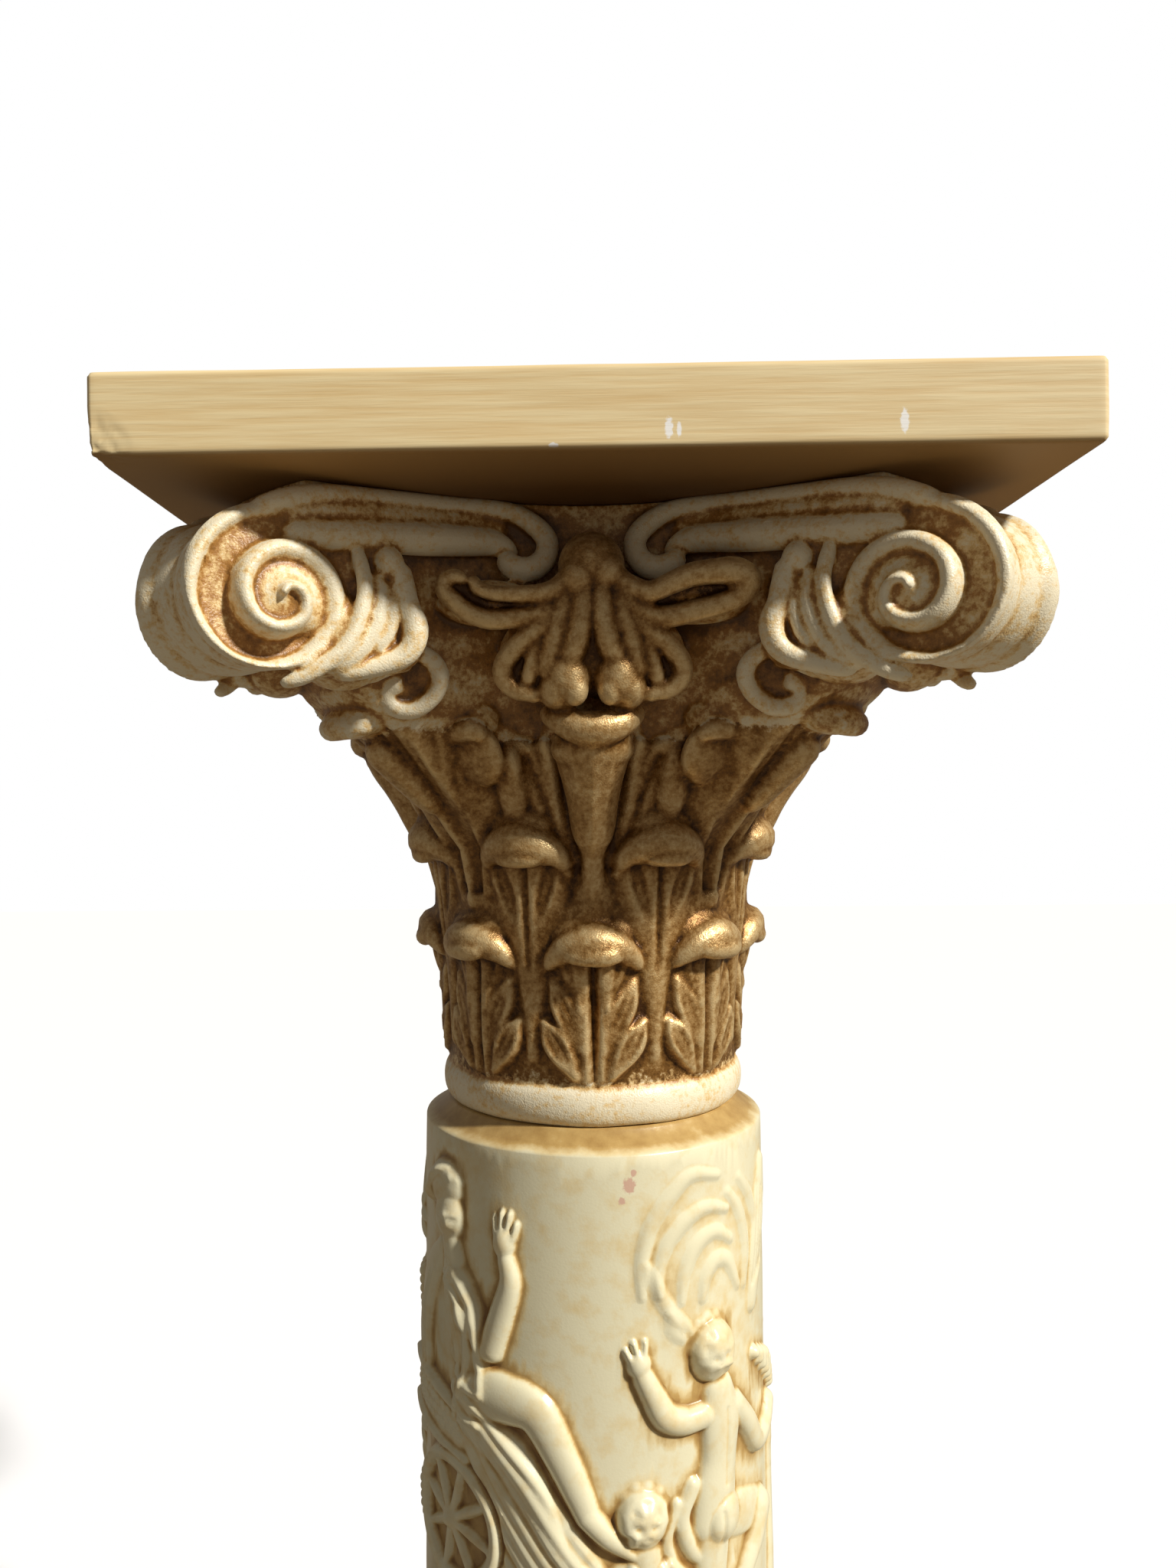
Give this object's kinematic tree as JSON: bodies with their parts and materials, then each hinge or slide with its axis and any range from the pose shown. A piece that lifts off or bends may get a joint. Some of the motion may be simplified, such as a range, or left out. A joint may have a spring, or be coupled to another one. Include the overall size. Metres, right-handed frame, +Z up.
{
  "type": "display pedestal",
  "caption": "Free-standing display pedestal with a square top slab, a leafed capital with corner volutes, a round shaft carved in relief and a square moulded base.",
  "frame": {"origin": "centre of the underside of the square base", "axes": "+Z up along the column's axis, -Y towards the front face, +X to the right seen from the front"},
  "size_m": [0.305, 0.305, 0.76],
  "materials": {
    "antiqued_cream_and_gold": "buff paint on the slab, cream volutes with ochre wash, worn gold leaves",
    "glazed_cream_relief": "satin cream paint with an amber wash in the recesses",
    "antiqued_cream_base": "satin cream paint with an amber wash in the recesses"
  },
  "bodies": {
    "root": {"base": "antiqued_cream_base", "shaft": "glazed_cream_relief", "capital": "antiqued_cream_and_gold"}
  },
  "joints": []
}
